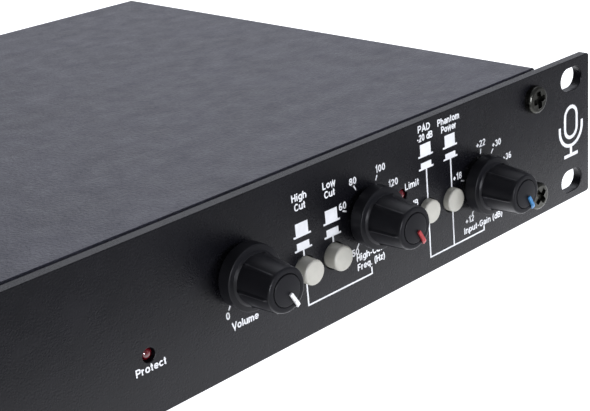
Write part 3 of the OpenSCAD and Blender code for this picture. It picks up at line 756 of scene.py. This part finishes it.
def cross_reach(angle, deep, recess):
    """How far the wall of a cross recess stands from its middle, at a depth."""
    from_wing = abs((angle + math.pi / 4) % (math.pi / 2) - math.pi / 4)
    half_width = recess * 0.2 - deep * 0.08
    tip = (recess * 0.58 - deep * 0.35) / max(math.cos(from_wing), 1e-4)
    side = half_width / max(math.sin(from_wing), 1e-4)
    corner = half_width * 1.35 / max(math.cos(math.pi / 4 - from_wing), 1e-4)
    return max(min(tip, side), corner)


def pan_head_into(bm, head_r, head_h, recess, matrix, steps=48):
    """Pan head with a cross recess, its base on z = 0, put in place by a matrix."""
    start = len(bm.verts)
    turns = [2 * math.pi * k / steps for k in range(steps)]
    rim = [(0, 0, 0), (head_r, 0, 0), (head_r, head_h, head_r * 0.22), (recess * 0.62, head_h - 0.1, 0)]
    loops = []
    for r, h in fillet(rim, 7):
        around = [0] if r < 1e-6 else turns
        loops.append([bm.verts.new((r * math.cos(a), r * math.sin(a), h)) for a in around])
    for deep in (0.0, head_h * 0.25, head_h * 0.62):
        radii = [cross_reach(a, deep, recess) for a in turns]
        loops.append([bm.verts.new((r * math.cos(a), r * math.sin(a), head_h - deep))
                      for r, a in zip(radii, turns)])
    loops.append([bm.verts.new((0, 0, head_h * 0.3))])
    for a, b in zip(loops, loops[1:]):
        for k in range(steps):
            n = (k + 1) % steps
            if len(a) == 1:
                bm.faces.new((a[0], b[k], b[n]))
            elif len(b) == 1:
                bm.faces.new((a[k], a[n], b[0]))
            else:
                bm.faces.new((a[k], a[n], b[n], b[k]))
    bm.verts.ensure_lookup_table()
    bmesh.ops.transform(bm, matrix=matrix, verts=bm.verts[start:])


def seat(place, tilt, axis, turn):
    """Matrix that stands a screw head at a place, tilted about an axis and turned about itself."""
    return Matrix.Translation(place) @ Matrix.Rotation(tilt, 4, axis) @ Matrix.Rotation(turn, 4, "Z")


def screws():
    """All the screws that show: panel, cover sides and rear."""
    bm = bmesh.new()
    corners = [(i * PANEL_SCREW[0], 0, k * PANEL_SCREW[1]) for i in (-1, 1) for k in (-1, 1)]
    for place, turn in zip(corners, (17, 62, 41, 8)):
        pan_head_into(bm, *PANEL_HEAD, seat(place, math.pi / 2, "X", math.radians(turn)))
    piece(make_object("panel_screw_heads", bm, SCREW_BLACK), CASE, "screw_black", "panel_screws")

    bm = bmesh.new()
    head_r = SMALL_HEAD[0]
    y0, y1 = low("cover_screws")[1] + head_r, high("cover_screws")[1] - head_r
    z = middle("cover_screws")[1]
    for i in (-1, 1):
        for k in range(3):
            place = (i * CASE_W / 2, y0 + (y1 - y0) * k / 2, z)
            pan_head_into(bm, *SMALL_HEAD, seat(place, i * math.pi / 2, "Y", k * 0.7 + i))
    piece(make_object("cover_screw_heads", bm, SCREW_BLACK), CASE, "screw_black", "cover_screws")

    bm = bmesh.new()
    flange = high("line_output_shell")[1]
    places = [(x, CASE_BACK, REAR_SCREW_Z) for x in REAR_SCREW_X]
    for node in FLANGED:
        places += [(middle(node)[0] + i * FLANGE_SCREW[0], flange, i * FLANGE_SCREW[1]) for i in (-1, 1)]
    for n, place in enumerate(places):
        pan_head_into(bm, *SMALL_HEAD, seat(place, -math.pi / 2, "X", n * 0.9))
    piece(make_object("rear_screw_heads", bm, SCREW_BLACK), CASE, "screw_black", "rear_screws")


# ---- case ----------------------------------------------------------------------


def cover():
    """Top cover: one sheet bent down at both sides, with round bends and broken edges."""
    half, t = CASE_W / 2, SHEET
    bend, edge = 1.2, 0.1

    def channel(inset, radius):
        """Outline of the bent sheet, set in from its outside."""
        x, top = half - inset, CASE_TOP - inset
        return fillet([(x, CASE_BOT, 0), (x, top, radius), (-x, top, radius), (-x, CASE_BOT, 0)], 6)

    outer, inner = channel(0, bend), channel(t, bend - t)
    stations = [(COVER_FRONT, edge), (COVER_FRONT + edge * 0.3, edge * 0.3), (COVER_FRONT + edge, 0),
                (CASE_BACK - edge, 0), (CASE_BACK - edge * 0.3, edge * 0.3), (CASE_BACK, edge)]
    bm = bmesh.new()
    loops = []
    for y, inset in stations:
        share = inset / t
        out = [Vector(p).lerp(Vector(q), share) for p, q in zip(outer, inner)]
        back = [Vector(q).lerp(Vector(p), share) for p, q in zip(outer, inner)]
        loops.append([bm.verts.new((p.x, y, p.y)) for p in out + back[::-1]])
    count = len(loops[0])
    for a, b in zip(loops, loops[1:]):
        for k in range(count):
            n = (k + 1) % count
            bm.faces.new((a[k], a[n], b[n], b[k]))
    for loop in (loops[0], loops[-1]):
        for k in range(count // 2 - 1):
            bm.faces.new((loop[k], loop[k + 1], loop[count - 2 - k], loop[count - 1 - k]))
    piece(make_object("cover_sheet", bm, SHEEN_PAINTED_COVER_COAT), CASE, "cover_grey", "top_cover")


def rear_sheet():
    """Rear panel with the openings for its connectors."""
    flange_hole_r, jack_hole_r, inlet_hole = 12, 4.8, (27, 32)
    holes = [ring_outline(x, REAR_SCREW_Z, 1.7, 24) for x in REAR_SCREW_X]
    for node in FLANGED:
        x = middle(node)[0]
        holes.append(ring_outline(x, 0, flange_hole_r))
        holes += [ring_outline(x + i * FLANGE_SCREW[0], i * FLANGE_SCREW[1], 1.5, 24) for i in (-1, 1)]
    holes.append(ring_outline(middle("jack_output")[0], 0, jack_hole_r))
    holes.append(round_rect(middle("mains_inlet")[0], 0, *inlet_hole, 0.4, 2))
    a, b = low("rear_panel"), high("rear_panel")
    outer = round_rect(*middle("rear_panel"), b[0] - a[0], b[2] - a[2], 0.3, 2)
    bm = bmesh.new()
    plate_into(bm, outer, holes, a[1], b[1], 0.18, 2)
    piece(make_object("rear_sheet", bm, REAR_PAINT), CASE, "panel_black", "rear_panel")


# ---- controls ------------------------------------------------------------------

# Knob: radii of the skirt and of the body at its foot and top, and how far in front of the panel they lie
SKIRT_R = 8.1
SKIRT = (1.7, 5.35)
BODY_R = (6.15, 5.5)
BODY = (6.1, 15.3)
# Its ribs: their number, turn against the pointer, height, and where they start and end
RIBS = 6
RIB_TURN = math.radians(6)
RIB_HEIGHT = 0.34
RIB = (5.9, 15.2)
# Where the pointers stand at rest, in degrees clockwise from straight up
POINTER_DEG = 150
BUTTON_R = 3.25
LENS_R = 1.7


def knob_swell(angle, depth):
    """Ribs along the knob's body, each with a small boss at its foot."""
    if not RIB[0] < depth < RIB[1]:
        return 0.0
    pitch = 2 * math.pi / RIBS
    off = abs((angle + RIB_TURN + pitch / 2) % pitch - pitch / 2) * 6.0
    rib = RIB_HEIGHT * math.exp(-((off / 0.34) ** 4))
    fade = min(max((RIB[1] - depth) / 0.8, 0), 1) * min(max((depth - RIB[0]) / 0.3, 0), 1)
    boss = 0.26 * math.exp(-((off / 0.55) ** 2) - ((depth - 6.7) / 0.6) ** 2)
    return rib * fade + boss


def knob_body(name, at, reach, spin):
    """Skirt and ribbed, tapered body, with a recess for the cap in its front."""
    foot_r, top_r = BODY_R
    foot, top = BODY
    hollow = (6.6, 4.4)
    shell = [(0, hollow[1], 0), (*hollow, 0), (hollow[0], SKIRT[0], 0), (SKIRT_R, SKIRT[0], 0.25),
             (SKIRT_R, SKIRT[1], 0.28), (6.75, 5.5, 0.1), (6.4, 5.85, 0.15), (foot_r, 5.95, 0.1)]
    taper = [(foot_r + (top_r - foot_r) * k / 24, foot + (top - foot) * k / 24, 0) for k in range(25)]
    front = [(5.48, reach, 0.6), (4.05, reach, 0.12), (4.0, reach - 0.5, 0), (0, reach - 0.5, 0)]
    bm = bmesh.new()
    revolve_into(bm, fillet(shell + taper + front, 5), at, 240, knob_swell, spin)
    piece(make_object("knob_body_" + name, bm, KNOB, 50), name + "_knob", "knob_black", "knob_" + name)


def knob_cap(name, at, reach):
    """Disc pressed into the knob's front."""
    disc = [(0, reach - 0.49, 0), (3.88, reach - 0.49, 0), (3.86, reach + 0.2, 0.22), (0, reach + 0.28, 0)]
    bm = bmesh.new()
    revolve_into(bm, fillet(disc, 5), at)
    piece(make_object("knob_cap_" + name, bm, CAP, 40), name + "_knob", "knob_black")


def pointer_bar(name, at, look, spin):
    """Coloured bar across the cap and down over the body's edge: a profile of radius and depth."""
    half = 0.44
    top = -low("pointer_" + name)[1] - 0.01
    profile = [(0.9, top - 0.6), (0.9, top), (4.3, top), (5.1, top - 0.22), (5.6, top - 0.68),
               (5.62, top - 1.4), (5.4, top - 1.45), (5.3, top - 0.95), (4.2, top - 0.75)]
    bm = bmesh.new()
    left, right = ([bm.verts.new((side, r, d)) for r, d in profile] for side in (-half, half))
    bm.faces.new(left)
    bm.faces.new(right[::-1])
    count = len(profile)
    for k in range(count):
        n = (k + 1) % count
        bm.faces.new((left[k], left[n], right[n], right[k]))
    bmesh.ops.recalc_face_normals(bm, faces=bm.faces)
    bmesh.ops.bevel(bm, geom=bm.edges[:], offset=0.12, segments=2, profile=0.5, affect="EDGES")
    to_front = Matrix(((1, 0, 0, at[0]), (0, 0, -1, 0), (0, 1, 0, at[1]), (0, 0, 0, 1)))
    bmesh.ops.transform(bm, matrix=to_front @ Matrix.Rotation(-spin, 4, "Z"), verts=bm.verts)
    slot = {"volume": "pointer_white", "high_cut": "pointer_red", "gain": "pointer_blue"}[name]
    piece(make_object("pointer_bar_" + name, bm, look, 40), name + "_knob", slot, "pointer_" + name)


def knob(name, pointer_look, pointer_deg):
    """One knob, its pointer at an angle clockwise from straight up."""
    at = middle("knob_" + name)
    reach = -low("knob_" + name)[1]
    spin = math.radians(pointer_deg)
    knob_body(name, at, reach, spin)
    knob_cap(name, at, reach)
    pointer_bar(name, at, pointer_look, spin)


def button(name):
    """Round push button with a soft front edge."""
    node = "button_" + name
    y0, y1 = low(node)[1], high(node)[1]
    outline = [(0, -y0, 0), (BUTTON_R, -y0, 0.55), (BUTTON_R, -y1, 0), (0, -y1, 0)]
    bm = bmesh.new()
    revolve_into(bm, fillet(outline, 6), middle(node), 72)
    piece(make_object("push_button_" + name, bm, BUTTON, 40), name + "_push", "button_grey", node)


def lamp(name, look, slot, sunk):
    """Lamp with a domed lens, its top sunk a little behind the panel's face, and a flange behind."""
    node = name + "_led"
    turns = [math.pi / 2 * k / 10 for k in range(11)]
    dome = [(LENS_R * math.sin(a), -(sunk + LENS_R - LENS_R * math.cos(a)), 0) for a in turns]
    flange_r, flange = 2.1, (-3.1, -3.9)
    foot = [(LENS_R, -2.9, 0), (flange_r, flange[0], 0), (flange_r, flange[1], 0), (0, flange[1], 0)]
    bm = bmesh.new()
    revolve_into(bm, fillet(dome + foot), middle(node), 40)
    piece(make_object("lamp_" + name, bm, look, 40), CASE, slot, node)


# ---- stage ---------------------------------------------------------------------


LIGHT_COLOUR = (0.90, 0.92, 1.0)
FLOOR_REACH = 4000


def glowing_plane(name, below, centre, glow, reach):
    """Pale plane under the object. below is how far under the panel's foot it lies, in mm.

    It glows with glow[0] within reach[0] metres of centre, and with glow[1] past reach[1], as a painted
    pool of light round centre.
    """
    look = Look(name, (0.40, 0.40, 0.40), 0.9, specular=0.1)
    look.tint(look.noise(3, 2), 0.01)
    look.shader.inputs["Emission Color"].default_value = (0.95, 0.96, 1, 1)
    away = look.nodes.new("ShaderNodeVectorMath")
    away.operation = "DISTANCE"
    away.inputs[1].default_value = centre
    look.links.new(look.coords.outputs["Object"], away.inputs[0])
    strength = look.ramp(away.outputs["Value"], *glow, *reach)
    strength.node.interpolation_type = "SMOOTHSTEP"
    look.links.new(strength, look.shader.inputs["Emission Strength"])
    bm = bmesh.new()
    z = low("front_panel")[2] - below
    corners = ((-1, -1), (1, -1), (1, 1), (-1, 1))
    bm.faces.new([bm.verts.new((x * FLOOR_REACH, y * FLOOR_REACH, z)) for x, y in corners])
    plane = make_object(name, bm, look.material, recalc=False)
    return plane


def stage():
    """Pale floor that glows round the object as a painted pool of light over its cast shadow, a sheet under
    it that shows only in reflections, a pale room and three soft lights.

    The room is brightest behind the right end, and the sheet gets darker towards the front.
    """
    # The floor's glow is painted light: a pool brightest round the object that fills its shadow and lights
    # it from below.
    floor = glowing_plane("floor", 0.05, (0.1, 0.2, -0.022), (1.3, 0.45), (0.5, 1.4))
    floor.visible_glossy = False
    bounce = glowing_plane("bounce", 0.5, (0.05, 1.2, -0.022), (1.8, 0.10), (1.208, 1.275))
    bounce.visible_camera = False
    bounce.visible_diffuse = False
    bounce.visible_shadow = False

    world = bpy.data.worlds.new("studio")
    bpy.context.scene.world = world
    world.use_nodes = True
    nodes, links = world.node_tree.nodes, world.node_tree.links
    coords = nodes.new("ShaderNodeTexCoord")
    facing = nodes.new("ShaderNodeVectorMath")
    facing.operation = "DOT_PRODUCT"
    facing.inputs[1].default_value = (0.61, 0.75, 0.26)
    ramp = nodes.new("ShaderNodeMapRange")
    ramp.interpolation_type = "SMOOTHSTEP"
    ramp.inputs["From Min"].default_value = 0.68
    ramp.inputs["From Max"].default_value = 0.96
    ramp.inputs["To Min"].default_value = 0.36
    ramp.inputs["To Max"].default_value = 0.8
    nodes["Background"].inputs["Color"].default_value = (*LIGHT_COLOUR, 1)
    links.new(coords.outputs["Generated"], facing.inputs[0])
    links.new(facing.outputs["Value"], ramp.inputs["Value"])
    links.new(ramp.outputs["Result"], nodes["Background"].inputs["Strength"])

    area_light("top_box", (0.55, 0.45, 0.8), (0.1, 0.05, 0), 0.8, 4.0)
    area_light("front_box", (0.7, -1.0, 0.35), (0.15, 0, 0), 0.4, 9).visible_glossy = False
    area_light("edge_box", (-0.23, -0.68, 0.1), (0.15, 0, 0), 0.2, 8).visible_diffuse = False

    bpy.context.scene.view_settings.view_transform = "Standard"


def area_light(name, place, target, size, power):
    """A square soft box in metres and watts, aimed at a place."""
    data = bpy.data.lights.new(name, "AREA")
    data.shape = "SQUARE"
    data.size = size
    data.energy = power
    data.color = LIGHT_COLOUR
    obj = bpy.data.objects.new(name, data)
    obj.location = place
    aim = Vector(target) - Vector(place)
    obj.rotation_euler = aim.to_track_quat("-Z", "Y").to_euler()
    bpy.context.collection.objects.link(obj)
    return obj


# Camera: azimuth, elevation and roll in degrees, place, and focal length on a 36 mm sensor
CAMERA_TURN = (-40.9456, 21.7645, -5.4754)
CAMERA_PLACE = (-54.801, -202.931, 120.869)
FOCAL_LENGTH = 74.23


def camera():
    """Camera close to the panel, left of its controls and above them."""
    azimuth, elevation, roll = (math.radians(v) for v in CAMERA_TURN)
    back = Vector((math.sin(azimuth) * math.cos(elevation), -math.cos(azimuth) * math.cos(elevation),
                   math.sin(elevation)))
    right = (-back).cross(Vector((0, 0, 1))).normalized()
    up = right.cross(-back)
    image_x = right * math.cos(roll) + up * math.sin(roll)
    image_y = up * math.cos(roll) - right * math.sin(roll)
    data = bpy.data.cameras.new("camera")
    data.sensor_width = 36
    data.lens = FOCAL_LENGTH
    data.clip_start = 0.005
    obj = bpy.data.objects.new("camera", data)
    turn = Matrix((image_x, image_y, back)).transposed().to_4x4()
    obj.matrix_world = Matrix.Translation(Vector(CAMERA_PLACE) * MM) @ turn
    bpy.context.collection.objects.link(obj)
    bpy.context.scene.camera = obj


# ---- the whole thing -----------------------------------------------------------

dress_nodes()
front_panel()
legends()
cover()
rear_sheet()
screws()
for knob_name, pointer_look in zip(KNOBS, (POINTER_WHITE, POINTER_RED, POINTER_BLUE)):
    knob(knob_name, pointer_look, POINTER_DEG)
for button_name in BUTTONS:
    button(button_name)
lamp("protect", LENS_RED, "lamp_red", 0.35)
lamp("limit", LENS_RED, "lamp_red", 0.02)
lamp("power", LENS_GREEN, "lamp_green", 0.2)
stage()
camera()
